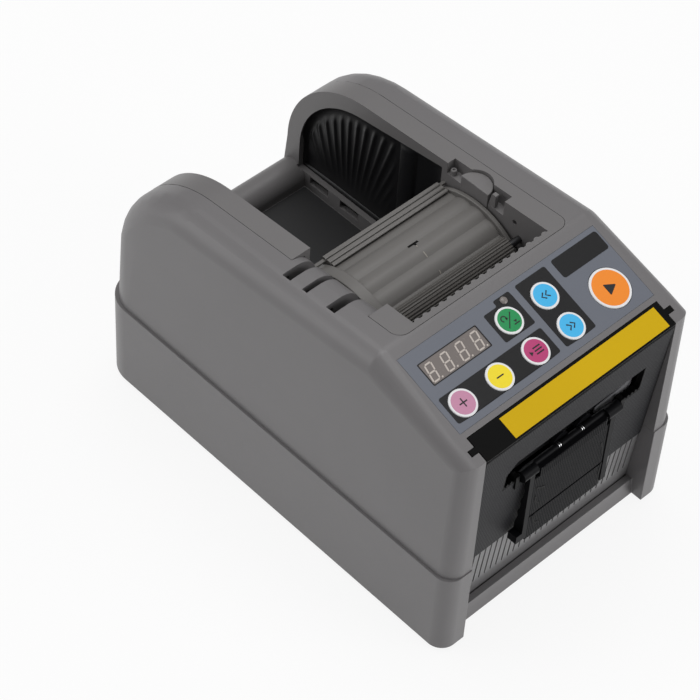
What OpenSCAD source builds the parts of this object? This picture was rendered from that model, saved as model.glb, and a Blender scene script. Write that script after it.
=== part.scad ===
// Electric tape dispenser for a shop counter.
// Every sub-part is drawn in front coordinates: x to the right, y back from the front plane,
// z up from the underside of the base. placed() moves them so that the feet stand on z = 0.

/* [Body] */
// Width of the base
body_w = 126; // [124:1:130]
// Length of the base, front to rear
body_l = 200; // [199:1:204]
// Height of the base tray
base_h = 42; // [40:1:43]
// Height of the rubber feet
foot_h = 2; // [1.5:0.5:4]
// Wall thickness of the housing
wall = 2.5; // [2:0.1:2.8]

/* [Top profile] */
// Height of the front edge of the control panel
front_h = 105; // [104:0.5:106]
// Slope of the control panel in degrees
panel_slope = 19; // [18:0.5:20]
// Height of the bend behind the control panel
top_h = 122.8; // [122:0.2:124]
// Fall of the cheek tops towards the rear in degrees
top_fall = 3.8; // [3:0.2:4.4]
// Radius of the round rear of the cheeks
dome_r = 46; // [44:0.5:48]

/* [Tape well] */
// Half width of the well between the cheeks
well_half = 35.4; // [35.2:0.1:36]
// Half width of the inset frame at its seam
seam_half = 45; // [44:0.5:46]
// Height of the well floor
well_floor = 49; // [48.5:0.1:49.5]
// Front edge of the inset frame
mouth_y = 52; // [51.8:0.1:52.2]

/* [Guide drum] */
// Radius of the drum over its ridges
drum_r = 29.5; // [29:0.1:29.8]
// Radius of the drum's flanges
flange_r = 31; // [30.6:0.1:31.1]
// Number of lobes round the drum
lobe_count = 22; // [18:1:26]
// Radius of the ribbed pinch roller
pinch_r = 4.6; // [4.2:0.1:4.8]

/* [Keys] */
// Diameter of the six small keys
key_d = 11.4; // [10.8:0.1:11.8]
// Diameter of the start key
start_d = 17.2; // [16.6:0.1:17.6]
// Travel of a key
key_travel = 0.5; // [0.3:0.1:0.5]

/* [Feed and cutter] */
// Radius of the rubber feed roller
feed_r = 8; // [7.5:0.1:8]
// Radius of the press roller
press_r = 6; // [5.5:0.1:6]
// Stroke of the moving blade
cut_stroke = 7; // [6:0.5:7]

/* [Outlet] */
// Width of the tape outlet slot
outlet_w = 74; // [66:1:75]
// Shift of the outlet slot to the right
outlet_shift = 1.5; // [0:0.5:2]
// Depth of the serrations on the slot's lower edge
outlet_tooth = 1.6; // [1:0.1:2]

/* [Hidden] */

$fn = 64;
form_fn = 32;
eps = 0.02;

// Housing sizes that follow from the driving dimensions
body_half = body_w / 2;
shell_half = body_half - 1.2;
top_half = body_half - 2.4;
shell_front = 0.5;
shell_rear = body_l - 1.2;
front_round = 7;
rear_round = 15;
panel_round = 6;
knee_round = 9;
cheek_round = 11;
recess_half = 50.6;
pillar_wall = 2;
pillar_depth = 14;
sill = [[5, 0], [5.9, 4.3], [6.05, 8.3], [9, 8.3], [9, 0]];
boss_r = 4;
screw_r = 1.5;
screw_head_z = 34;
boss_top = 66;
boss_places = [[-56, 30], [56, 30], [-56, 165], [56, 165]];
foot_places = [[-46, 24], [46, 24], [-46, 176], [46, 176]];
foot_r = 8;
post_x = [35.2, 38.4];
post_y = [32, 50];
post_top = 44;
above = 130;

// Roof line: the panel, the bend, the falling top and the round rear
knee_y = (top_h - front_h) / tan(panel_slope);
panel_len = (top_h - front_h) / sin(panel_slope);
dome_y = body_l - 50;
dome_steps = 24;
function top_z(y) = top_h - (y - knee_y) * tan(top_fall);
dome_z = top_z(dome_y + dome_r * sin(top_fall)) - dome_r * cos(top_fall);
function dome_point(r, a) = [dome_y + r * cos(a), dome_z + r * sin(a)];
function rear_y(z) = shell_rear - (shell_rear - dome_y - dome_r) * (z - base_h) / (dome_z - base_h);
function roof(inset, y0, z0) = concat(
    [[y0, z0], [y0, top_z(y0) - inset / cos(top_fall)]],
    [for (i = [0:dome_steps]) dome_point(dome_r - inset, (90 - top_fall) * (1 - i / dome_steps))],
    [[rear_y(z0) - inset, z0]]
);

// Inset frame of the well
frame_gap = 0.2;
cheek_t = 2.5;
frame_rear_z = 54;
mouth_round = 5;
corner_half = 41;
pad_front = 68.4;
pad_rear = 108.8;
pad_left = 49;
pad_flat = 46;
pad_end = 35.6;
pad_drop = 9;
pad_depth = 9.4;
pad_slot_end = 52.6;
pad_slots = [[77.8, 82.3], [92.4, 95.1], [101.3, 105.6]];
bar_y = 191.4;
bar_z = 52.4;
bar_r = 7;
comb_pitch = 4.17;
comb_r = 1.6;
comb_side = 8;
comb_low = 112;
comb_sink = 0.8;
comb_drop = 0.2;
tape_gate_z = [84, 104];
tape_gate_half = 33;
rail_slots = [158, 176];
rail_slot_half = 5.5;
side_r = dome_r - 7.3;
side_fall = 8;
side_front = 110;
side_floor = 57;
side_ribs = 14;
side_rib_pitch = 5.4;

// Drum and the rollers beside it
drum_y = 90;
drum_z = 81.5;
drum_x = [-29, 32.8];
flange_x = [-34.2, 34.6];
lobe_depth = 0.8;
lobe_turn = 6.2;
drum_rim = 3;
hub_r = 7;
hub_web = 3;
axle_r = 3;
run_gap = 0.06;
pinch_y = 67.8;
pinch_z = 108;
pinch_x = [-28.6, 28.4];
pin_r = 1.5;
bar_x = [-28.6, 32.2];
bar_inner = 30;
bar_ridges = [[102.9, 104.5], [105, 106.9], [107.4, 109.2]];
ridge_top = 109.7;
ridge_root = 108.9;
ridge_round = 0.3;
tenon_y = [107.3, 108.6];
tenon_z = [107.7, 108.8];
cap_r = 7.2;
cap_y = 92.4;
cap_x = 35;
cap_low = 108;
cap_top = 118.6;
pocket_low = 113.7;
pocket_y = [77, 107.3];
pocket_x = 39.4;
pocket_back = 43.4;
pin_hole = [71, 114.5];
pin_hole_r = 1.1;

// Control panel layout: x across, s up the slope
overlay_half = 51.5;
overlay_s = [14.1, 49.2];
overlay_t = 0.5;
window_x = [-46.7, -16.8];
window_s = [33.6, 43.6];
module_s = [31.6, 45.6];
lamp_at = [-0.5, 45];
lamp_r = 1.6;
key_places = [[-42.1, 22.7], [-23.2, 22.7], [-4.4, 22.7], [-4.4, 37.6], [14.5, 37.6], [14.5, 22.7]];
start_at = [38.7, 25.8];
key_gap = 0.25;
key_proud = 0.3;
key_flange = 0.9;
board_n = -11;
board_t = 1.6;
board_half = 53;
board_post_r = 2.2;
board_posts = [[-50.4, 17.2], [50.4, 17.2], [-50.4, 47.2], [50.4, 47.2]];

// Cutter cover: a plate that leans back towards its lower edge
cover_y = 0.3;
cover_lean = 5.1;
cover_half = 50.2;
cover_t = 2.5;
cover_len = 68.2;
strip_s = 11.5;
tab_s = [5, 7.3];
tab_w = 3.4;
slot_top = 17;
slot_bevel = 4.8;
slot_low = 32.6;
slot_end_low = 28.8;
slot_end_x = 28;
panel_low = 102.4;
band_x = [-35, 47.5];
band_s = [1.1, 10.4];
band_t = 0.15;

// Outlet guide, hinged on a pin in the slot
guide_hinge = [3.9, 75.4];
guide_bar_r = 1.5;
guide_bar_spans = [[-24, -6.2], [-4.5, 6.2], [7.9, 24]];
guide_pin_r = 0.8;
lug_x = 27.5;
lug_t = 2;
guide_front = 0.9;
guide_back = 2.1;
guide_plate_x = [-21, 20.5];
guide_plate_z = [34.6, 70.5];
guide_groove_z = [47.6, 48.5];
guide_band_half = 18;
guide_band_z = [70.3, 75.6];
knuckle_r = 2.5;
knuckle_x = [19.2, 26.6];
rail_w = 2.4;
rail_low = 36.6;
rail_wall = 1;
foot_back = 5;
rail_edge = [[2.1, 71], [2.6, 66], [2.3, 62.5], [3.5, 58], [3.1, 54.5], [4.3, 51], [3.9, 48.5],
             [foot_back, 44]];
left_foot = 3;
right_foot = 0.5;
finger_r = 4.4;
finger_t = 1.6;
finger_back = 1.2;
finger_places = [-2.8, 9.9];

// Feed and cutter mechanism
feed_y = 28;
feed_z = 74;
nip_gap = 0.3;
press_z = feed_z + feed_r + press_r + nip_gap;
roller_half = 30;
shaft_r = 3;
press_shaft_r = 2.5;
plate_x = [36, 37.5];
gear_x = [39, 43.5];
gear_m = 1;
feed_teeth = 26;
pinion_teeth = 12;
cutter_teeth = 14;
motor_r = 10.5;
motor_len = 33;
motor_turn = 25;
motor_dist = gear_m * (feed_teeth + pinion_teeth) / 2;
motor_y = feed_y + motor_dist * sin(motor_turn);
motor_z = feed_z - motor_dist * cos(motor_turn);
cutter_y = 21;
cutter_z = 45;
rack_y = cutter_y - gear_m * cutter_teeth / 2;
rod_x = 33;
rod_y = 8.4;
rod_r = 1.5;
rod_z = [60, 102];
blade_edge_z = 81.5;

// Rear electrics
inlet_at = [-30, 21];
inlet_r = 4.4;
inlet_half = 5.5;
inlet_socket_r = 3.1;
switch_at = [25, 21];
switch_half = [6.6, 9.6];
switch_wall = 1.2;
switch_depth = 16;
rocker_half = [5.1, 7.6];
rocker_tilt = 8;
rocker_depth = 3.2;
rocker_pin_r = 1;

// Frames of reference
module placed() translate([0, -body_l / 2, foot_h]) children();
module on_panel() translate([0, 0, front_h]) rotate([panel_slope, 0, 0]) children();
module on_cover() translate([0, cover_y, front_h]) rotate([cover_lean, 0, 0]) children();
// A flat outline in (y, z), made solid from x0 to x1
module along_x(x0, x1) translate([x0, 0, 0]) rotate([90, 0, 90]) linear_extrude(x1 - x0) children();
module rod_x(y, z, r, x0, x1) translate([x0, y, z]) rotate([0, 90, 0]) cylinder(r = r, h = x1 - x0);
module block(low, high) translate(low) cube(high - low);
module mirrored() {
    children();
    mirror([1, 0, 0]) children();
}

// Plan of the housing with its front and rear corner radii
module plan(half, y0, y1, rf, rr) hull() mirrored() {
    translate([half - rf, y0 + rf]) circle(rf);
    translate([half - rr, y1 - rr]) circle(rr);
}

// Involute gear outline
function involute(a) = tan(a) - a * PI / 180;
function tooth_half(r, teeth, slack) = let (
    pitch_r = gear_m * teeth / 2,
    base_r = pitch_r * cos(25),
    a = r > base_r ? acos(base_r / r) : 0
) 90 / teeth - slack + (involute(25) - involute(a)) * 180 / PI;
function gear_points(teeth, slack) = let (
    pitch_r = gear_m * teeth / 2,
    radii = [for (k = [-1.2, -0.6, 0, 0.45, 0.9]) pitch_r + k * gear_m]
) [for (i = [0:teeth - 1]) for (side = [-1, 1]) for (j = [0:4])
    let (r = radii[side < 0 ? j : 4 - j], a = 360 * i / teeth + side * tooth_half(r, teeth, slack))
    r * [cos(a), sin(a)]];
module gear(teeth, bore) difference() {
    polygon(gear_points(teeth, 1.2 * 12 / teeth));
    circle(bore);
}

// Outer form of the upper shell, drawn in by inset
function knee_centre(r) = let (
    n1 = [-sin(panel_slope), cos(panel_slope)],
    n2 = [sin(top_fall), cos(top_fall)]
) [knee_y, top_h] - r * (n1 + n2) / (1 + n1 * n2);
module shell_ball(r, inset, y, z) translate([top_half - inset - r, y, z]) sphere(r, $fn = form_fn);
// Front corner under the panel: its side rounding met by the upright corner
module shell_corner(inset) intersection() {
    on_panel() translate([top_half - panel_round, -20, -panel_round]) rotate([-90, 0, 0])
        cylinder(r = panel_round - inset, h = 45);
    translate([top_half - front_round, shell_front + front_round, 80])
        cylinder(r = front_round - inset, h = 40);
}
module shell_form(inset) hull() {
    mirrored() {
        shell_corner(inset);
        shell_ball(knee_round - inset, inset, knee_centre(knee_round).x, knee_centre(knee_round).y);
        for (i = [0:10]) {
            c = dome_point(dome_r - cheek_round, (90 - top_fall) * (1 - i / 10));
            shell_ball(cheek_round - inset, inset, c.x, c.y);
        }
    }
    translate([0, 0, base_h]) linear_extrude(0.1)
        plan(shell_half - inset, shell_front + inset, shell_rear - inset,
             front_round - inset, rear_round - inset);
}

// Opening of the upper shell that takes the well frame
module mouth() {
    hull() mirrored() {
        translate([seam_half - mouth_round, mouth_y + mouth_round]) circle(mouth_round);
        translate([seam_half - 1, mouth_y + 20]) square(1);
    }
    translate([-seam_half, mouth_y + 20]) square([2 * seam_half, body_l]);
}
// Height that the frame leaves free below the pads
function pad_floor(y) = top_z(y) - pad_depth / cos(top_fall) - frame_gap;
module pad_slot_cuts() for (span = pad_slots)
    block([-pad_slot_end, span[0], 100], [-well_half + 5, span[1], above]);
// Slotted shoulder of the shell that rounds down to the drum on the left
module pads() difference() {
    intersection() {
        block([-pad_left, pad_front, 100], [-pad_end, pad_rear, above]);
        translate([0, knee_y, top_h]) rotate([-top_fall, 0, 0]) translate([0, body_l / 2, 0])
            rotate([90, 0, 0]) linear_extrude(body_l / 2) polygon(concat(
                [[-pad_end, -pad_depth], [-pad_left, -pad_depth], [-pad_left, 0]],
                [for (a = [90:-7.5:0]) [-pad_flat + (pad_flat - pad_end) * cos(a), pad_drop * (sin(a) - 1)]]
            ));
    }
    pad_slot_cuts();
}

// Housing
module base_tray() placed() color("dimgray") {
    difference() {
        union() {
            difference() {
                linear_extrude(base_h) plan(body_half, 0, body_l, front_round, rear_round);
                translate([0, 0, wall]) linear_extrude(base_h)
                    plan(body_half - wall, wall, body_l - wall, front_round - wall, rear_round - wall);
            }
            for (p = boss_places) translate([p.x, p.y, 0]) cylinder(r = boss_r + 1, h = base_h);
            mirrored() {
                block([recess_half, 1, 1], [recess_half + pillar_wall, pillar_depth, base_h]);
                block([post_x[0], post_y[0], 1], [post_x[1], post_y[1], post_top]);
            }
        }
        block([-recess_half, -1, -1], [recess_half, sill[0].x + 1, base_h + 1]);
        for (p = boss_places) translate([p.x, p.y, 0]) {
            translate([0, 0, -1]) cylinder(r = 3.2, h = screw_head_z + 1);
            cylinder(r = screw_r + 0.2, h = base_h + 1);
        }
        translate([inlet_at.x, body_l - wall - 1, inlet_at.y]) rotate([-90, 0, 0])
            cylinder(r = inlet_r + 0.1, h = 8);
        block([switch_at.x - switch_half.x - 0.1, body_l - wall - 1, switch_at.y - switch_half.y - 0.1],
              [switch_at.x + switch_half.x + 0.1, body_l + 1, switch_at.y + switch_half.y + 0.1]);
    }
    along_x(-recess_half, recess_half) polygon(sill);
}

module shell_body() difference() {
    union() {
        difference() {
            shell_form(0);
            translate([0, 0, -0.5]) shell_form(wall);
            block([-recess_half, -1, base_h - 1], [recess_half, pillar_depth, 98]);
            on_panel() block([-recess_half, -30, -14], [recess_half, 11.7, 10]);
        }
        mirrored() block([recess_half, 1.5, base_h], [recess_half + pillar_wall, pillar_depth, 103]);
        for (p = boss_places) translate([0, p.y, base_h]) linear_extrude(boss_top - base_h) hull() {
            translate([p.x, 0]) circle(boss_r, $fn = form_fn);
            translate([sign(p.x) * (shell_half - wall), 0]) square([1, 3], center = true);
        }
        on_panel() for (p = board_posts) translate([p.x, p.y, board_n]) cylinder(r = board_post_r, h = 9);
    }
    translate([0, 0, frame_rear_z]) linear_extrude(100) mouth();
    pad_slot_cuts();
    for (p = boss_places) translate([p.x, p.y, base_h - 1]) cylinder(r = screw_r, h = 17);
    on_panel() {
        block([-overlay_half - 0.1, overlay_s[0] - 0.1, -overlay_t],
              [overlay_half + 0.1, overlay_s[1] + 0.1, 5]);
        for (p = key_places) translate([p.x, p.y, -9]) cylinder(d = key_d + 2 * key_gap, h = 12);
        translate([start_at.x, start_at.y, -9]) cylinder(d = start_d + 2 * key_gap, h = 12);
        block([window_x[0] - 0.4, module_s[0] - 0.4, -9], [window_x[1] + 0.4, module_s[1] + 0.4, 1]);
        translate([lamp_at.x, lamp_at.y, -9]) cylinder(r = lamp_r + 0.1, h = 12);
        mirrored() block([recess_half - 1, tab_s[0] - 0.2, -4], [recess_half + tab_w, tab_s[1] + 0.2, 5]);
    }
}
module upper_shell() placed() color("dimgray") {
    shell_body();
    pads();
}

// Outline of a side plate's opening in the cheek, in (y, z), grown by a margin
function side_top(y, grow) = let (end = dome_point(side_r + grow, 90 - side_fall))
    end.y + (end.x - y) * tan(side_fall);
module side_outline(grow) polygon(concat(
    [[side_front - grow, side_floor - grow], [side_front - grow, side_top(side_front - grow, grow)]],
    [for (i = [0:dome_steps]) dome_point(side_r + grow, (90 - side_fall) * (1 - i / dome_steps))],
    [[dome_y + side_r + grow, side_floor - grow]]
));

module well_frame() placed() color("gray") {
    frame_half = seam_half - frame_gap;
    front = mouth_y + frame_gap;
    difference() {
        union() {
            // Cheek walls, the top bands outside them and the front wall
            mirrored() {
                along_x(well_half, well_half + cheek_t) polygon(roof(0, front, well_floor - wall));
                along_x(well_half + 1, frame_half) difference() {
                    polygon(roof(0, front, frame_rear_z + frame_gap));
                    polygon(roof(wall, front + wall, 0));
                }
            }
            along_x(-well_half - 1, well_half + 1) polygon([
                [front, well_floor - wall], [front, top_z(front)], [front + wall, top_z(front + wall)],
                [front + wall, well_floor - wall]]);
            block([-well_half - 1, front, well_floor - wall], [well_half + 1, bar_y, well_floor]);
            block([-well_half - 1, bar_y - bar_r + 0.1, well_floor - wall],
                  [well_half + 1, rear_y(frame_rear_z) - frame_gap, bar_z]);
            intersection() {
                rod_x(bar_y, bar_z, bar_r, -well_half - 1, well_half + 1);
                block([-50, 150, 50], [50, rear_y(frame_rear_z) - frame_gap, 80]);
            }
            // Block at the left front corner of the mouth
            block([-corner_half, front, comb_low], [-well_half, pad_front, top_z(pad_front)]);
            // Comb of round teeth along the front rim
            for (i = [-comb_side:comb_side]) translate([i * comb_pitch, front + wall - comb_sink, comb_low])
                cylinder(r = comb_r, h = top_z(front) - comb_low - comb_drop, $fn = 24);
            // Back of the pocket beside the axle cap
            block([well_half + cheek_t - 0.1, pocket_y[0] - wall, cap_low - 5],
                  [pocket_back, pocket_y[1] + 1.5, top_z(pocket_y[1]) - 1]);
        }
        // Round front corners, to match the opening of the shell
        mirrored() difference() {
            block([seam_half - mouth_round, front - 1, 100], [seam_half + 1, mouth_y + mouth_round, above]);
            translate([seam_half - mouth_round, mouth_y + mouth_round, 99])
                cylinder(r = mouth_round - frame_gap, h = 40);
        }
        // Left side: the shell's slotted shoulder reaches in over the cheek here
        along_x(-seam_half - 1, 1 - well_half) polygon([
            [pad_front - frame_gap, above], [pad_front - frame_gap, pad_floor(pad_front)],
            [pad_rear + frame_gap, pad_floor(pad_rear)], [pad_rear + frame_gap, above]]);
        // Gate for the tape in the front wall
        block([-tape_gate_half, front - 1, tape_gate_z[0]],
              [tape_gate_half, front + wall + 1, tape_gate_z[1]]);
        // Openings for the side plates
        mirrored() along_x(well_half - 1, well_half + cheek_t + 0.5) side_outline(0);
        // Pocket and axle slot on the right cheek
        block([well_half - 1, pocket_y[0], pocket_low], [pocket_x, pocket_y[1], above]);
        translate([cap_x, cap_y, cap_low]) cylinder(r = cap_r + 0.2, h = 20);
        rod_x(drum_y, drum_z, axle_r, -40, 40);
        rod_x(pinch_y, pinch_z, pin_r + run_gap, -40, 40);
        rod_x(pin_hole.x, pin_hole.y, pin_hole_r, well_half - 1, 40);
        // The rear below the seam stays inside the shell's rear wall
        block([-50, rear_y(frame_rear_z) - wall - 1.2, 40], [50, body_l + 1, frame_rear_z + frame_gap]);
        // Slots in the lower rail of both cheeks
        for (y = rail_slots) mirrored()
            block([well_half - 1, y - rail_slot_half, 52.5], [40, y + rail_slot_half, 56.5]);
    }
}

module front_lower_panel() placed() color("darkgray") on_cover() {
    rib_w = 2.4;
    ribs = 31;
    rib_pitch = 3.15;
    rib_low = 13.5;
    panel_top = -cover_len - 0.3;
    block([-cover_half, 0.5, -panel_low], [cover_half, 2.4, panel_top]);
    for (i = [0:ribs - 1]) translate([(i - (ribs - 1) / 2) * rib_pitch, 0, 0])
        block([-rib_w / 2, 0.1, -panel_low + rib_low], [rib_w / 2, 0.6, panel_top]);
}

module cutter_cover() placed() color("#232325") {
    teeth = 36;
    tooth_w = outlet_w / teeth;
    difference() {
        union() {
            on_cover() difference() {
                union() {
                    block([-cover_half, 0, -cover_len], [cover_half, cover_t, -1]);
                    mirrored() block([cover_half - 2, 0, -cover_len], [cover_half, 7, -6]);
                }
                translate([outlet_shift, cover_t + 1, 0]) rotate([90, 0, 0]) linear_extrude(cover_t + 2)
                    polygon(concat(
                        [[outlet_w / 2, -slot_top], [slot_bevel - outlet_w / 2, -slot_top],
                         [-outlet_w / 2, -slot_top - slot_bevel]],
                        [for (i = [0:teeth - 1]) for (k = [0, 0.5])
                            let (x = -outlet_w / 2 + (i + k) * tooth_w,
                                 low = abs(x + outlet_shift) > slot_end_x ? slot_end_low : slot_low)
                            [x, -low - 2 * k * outlet_tooth]],
                        [[outlet_w / 2, -slot_end_low]]
                    ));
            }
            // Lugs that hold the outlet guide's pin
            mirrored() block([lug_x, guide_hinge.x - 1.6, guide_hinge.y - 5],
                             [lug_x + lug_t, guide_hinge.x + 1.6, guide_hinge.y + 1.6]);
        }
        mirrored() rod_x(guide_hinge.x, guide_hinge.y, guide_pin_r, lug_x - 1, lug_x + lug_t);
    }
    difference() {
        on_panel() {
            block([-cover_half, 0.2, -cover_t], [cover_half, strip_s, 0]);
            mirrored() block([cover_half - 1, tab_s[0], -cover_t], [cover_half + tab_w, tab_s[1], 0]);
        }
        block([-60, -5, 90], [60, cover_y, 120]);
    }
}

module cover_band() placed() color("gold") on_panel()
    block([band_x[0], band_s[0], 0], [band_x[1], band_s[1], band_t]);

// Outlet guide: a ribbed plate that hangs on a hinge bar in the outlet slot
module guide_finger(x) translate([x, guide_hinge.x, guide_hinge.y]) {
    translate([0, finger_back, 0]) difference() {
        translate([0, 0, -0.6]) rotate([-90, 0, 0]) cylinder(r = finger_r, h = finger_t);
        block([-finger_r - 1, -1, -finger_r - 1], [finger_r + 1, finger_t + 1, 0]);
    }
    block([1 - finger_r, 0, -0.2], [finger_r - 1, finger_back + finger_t, 0.9]);
}
// Rail beside the plate, with a wall towards the cover that deepens down to the foot
module guide_rail(foot) {
    front = guide_front - 0.4;
    block([-0.1, front, rail_low], [rail_w, guide_back + 0.4, guide_hinge.y]);
    along_x(rail_w - rail_wall, rail_w) polygon(concat(
        [[foot_back, rail_low], [front, rail_low], [front, rail_edge[0].y]], rail_edge));
    block([-0.1, front, rail_low], [rail_w + foot, foot_back, rail_low + 4]);
}
module outlet_guide() placed() color("#1c1c1e") difference() {
    union() {
        for (span = guide_bar_spans) rod_x(guide_hinge.x, guide_hinge.y, guide_bar_r, span[0], span[1]);
        // Elbow over the slot's lower edge, toothed band, plate and side rails
        block([-22, guide_front, guide_hinge.y - 2.2], [22, guide_hinge.x - 1, guide_hinge.y + 0.2]);
        block([-guide_band_half, 0.3, guide_band_z[0]], [guide_band_half, guide_back, guide_band_z[1]]);
        block([guide_plate_x[0], guide_front, guide_plate_z[0]],
              [guide_plate_x[1], guide_back, guide_plate_z[1]]);
        translate([guide_plate_x[0], 0, 0]) mirror([1, 0, 0]) guide_rail(left_foot);
        translate([guide_plate_x[1], 0, 0]) guide_rail(right_foot);
        mirrored() rod_x(guide_hinge.x - 1.2, guide_hinge.y - 0.4, knuckle_r, knuckle_x[0], knuckle_x[1]);
        for (x = finger_places) guide_finger(x);
    }
    block([guide_plate_x[0], 0, guide_groove_z[0]], [guide_plate_x[1], guide_front + 0.5, guide_groove_z[1]]);
    // The knuckles stay clear of the slot's lower edge
    mirrored() block([knuckle_x[0] - 1, guide_hinge.x - 1.05, 60],
                     [knuckle_x[1] + 1, 12, guide_hinge.y - 2.1]);
    rod_x(guide_hinge.x, guide_hinge.y, guide_pin_r + run_gap, -lug_x - lug_t, lug_x + lug_t);
}
module outlet_pins() placed() color("silver")
    rod_x(guide_hinge.x, guide_hinge.y, guide_pin_r, -lug_x - lug_t, lug_x + lug_t);

// Side plate of the well: a ribbed dish set in the cheek
module side_plate() {
    along_x(well_half + cheek_t, well_half + cheek_t + 1.5) side_outline(0.8);
    along_x(well_half + 1.3, well_half + cheek_t + 0.1) side_outline(-0.2);
    along_x(well_half + 0.6, well_half + 1.4) intersection() {
        side_outline(-4);
        union() for (i = [0:side_ribs - 1])
            translate([side_front + 5 + side_rib_pitch * i, 50]) square([side_rib_pitch / 3, 80]);
    }
}
module left_side_plate() placed() color("#161618") mirror([1, 0, 0]) side_plate();
module right_side_plate() placed() color("#161618") side_plate();

// Bar with three ridges behind the drum, on a tenon between the cheeks
function bar_ridge(span) = let (y0 = span[0], y1 = span[1], low = ridge_top - ridge_round) [
    [y0, ridge_root], [y0, low], [y0 + ridge_round, ridge_top],
    [y1 - ridge_round, ridge_top], [y1, low], [y1, ridge_root]];
module rear_guide_bar() placed() color("gray") {
    along_x(bar_x[0], bar_x[1]) polygon(concat(
        [for (span = bar_ridges) each bar_ridge(span)],
        [for (a = [52:2:64]) [drum_y + bar_inner * cos(a), drum_z + bar_inner * sin(a)]]
    ));
    block([-well_half, tenon_y[0], tenon_z[0]], [well_half, tenon_y[1], tenon_z[1]]);
}

module axle_cap() placed() color("gray") difference() {
    translate([cap_x, cap_y, cap_low]) cylinder(r = cap_r, h = cap_top - cap_low);
    block([cap_x - 20, cap_y - 20, 100], [cap_x, cap_y + 20, 130]);
}

module drum_axle() placed() color("silver") rod_x(drum_y, drum_z, axle_r, -39, 39);

// Drum with convex lobes, a centre web and a hub
module guide_drum() placed() color("gray") {
    steps = 8;
    difference() {
        along_x(drum_x[0], drum_x[1]) translate([drum_y, drum_z]) rotate(lobe_turn) polygon(
            [for (i = [0:lobe_count * steps - 1])
                let (a = 360 * i / (lobe_count * steps), k = sin(180 * (i % steps) / steps))
                (drum_r - lobe_depth * (1 - k)) * [cos(a), sin(a)]]);
        mirrored() rod_x(drum_y, drum_z, drum_r - lobe_depth - drum_rim, hub_web / 2, 40);
        rod_x(drum_y, drum_z, axle_r + run_gap, -40, 40);
    }
    difference() {
        rod_x(drum_y, drum_z, hub_r, drum_x[0], drum_x[1]);
        rod_x(drum_y, drum_z, axle_r + run_gap, -40, 40);
    }
}
// Flanges that close the drum's ends and keep the tape between them
module drum_flanges() placed() color("gray") difference() {
    union() {
        rod_x(drum_y, drum_z, flange_r, flange_x[0], drum_x[0]);
        rod_x(drum_y, drum_z, flange_r, drum_x[1], flange_x[1]);
    }
    rod_x(drum_y, drum_z, axle_r + run_gap, -40, 40);
}

module pinch_roller() placed() color("dimgray") {
    ribs = 22;
    rib_h = 0.6;
    along_x(pinch_x[0], pinch_x[1]) translate([pinch_y, pinch_z]) difference() {
        polygon([for (i = [0:ribs * 4 - 1]) let (a = 90 * i / ribs, k = i % 4 < 2 ? 0 : rib_h)
            (pinch_r - k) * [cos(a), sin(a)]]);
        circle(pin_r);
    }
}
module pinch_pin() placed() color("silver") rod_x(pinch_y, pinch_z, pin_r, -37.5, 37.5);

// Control panel
module panel_overlay() placed() color("slategray") on_panel() difference() {
    block([-overlay_half, overlay_s[0], -overlay_t], [overlay_half, overlay_s[1], 0]);
    for (p = key_places) translate([p.x, p.y, -2]) cylinder(d = key_d + 2 * key_gap, h = 4);
    translate([start_at.x, start_at.y, -2]) cylinder(d = start_d + 2 * key_gap, h = 4);
    block([window_x[0], window_s[0], -2], [window_x[1], window_s[1], 2]);
    translate([lamp_at.x, lamp_at.y, -2]) cylinder(r = lamp_r + 0.1, h = 4);
}
module display_window() placed() color("#4a4038") on_panel()
    block([window_x[0], window_s[0], -overlay_t], [window_x[1], window_s[1], -0.05]);
module display_module() placed() color("#2a2624") on_panel()
    block([window_x[0], module_s[0], board_n], [window_x[1], module_s[1], -overlay_t - 0.1]);
module status_lamp() placed() color("lightgray") on_panel() translate([lamp_at.x, lamp_at.y, 0]) {
    translate([0, 0, board_n]) cylinder(r = lamp_r, h = -board_n - 0.4);
}
// A key: cap, retaining flange below the shell, stem towards its switch
module key(at, d) placed() on_panel() translate([at.x, at.y, 0]) {
    translate([0, 0, -4]) cylinder(d = d, h = 4 + key_proud);
    translate([0, 0, -5]) cylinder(d = d + 2 * key_flange, h = 1.4);
    translate([0, 0, -6]) cylinder(r = 2.4, h = 2);
}
module plus_key() color("plum") key(key_places[0], key_d);
module minus_key() color("yellow") key(key_places[1], key_d);
module select_key() color("mediumvioletred") key(key_places[2], key_d);
module mode_key() color("seagreen") key(key_places[3], key_d);
module reverse_key() color("deepskyblue") key(key_places[4], key_d);
module forward_key() color("deepskyblue") key(key_places[5], key_d);
module start_key() color("darkorange") key(start_at, start_d);
module control_board() placed() color("darkgreen") on_panel() difference() {
    block([-board_half, 14.6, board_n - board_t], [board_half, 49.4, board_n]);
    for (p = board_posts) translate([p.x, p.y, -20]) cylinder(r = 1.2, h = 20);
}
module tact_switches() placed() color("#303030") on_panel() for (p = concat(key_places, [start_at]))
    translate([p.x, p.y, board_n]) {
        block([-3, -3, 0], [3, 3, 3.5]);
        cylinder(r = 1.7, h = 4.3);
    }

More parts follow.
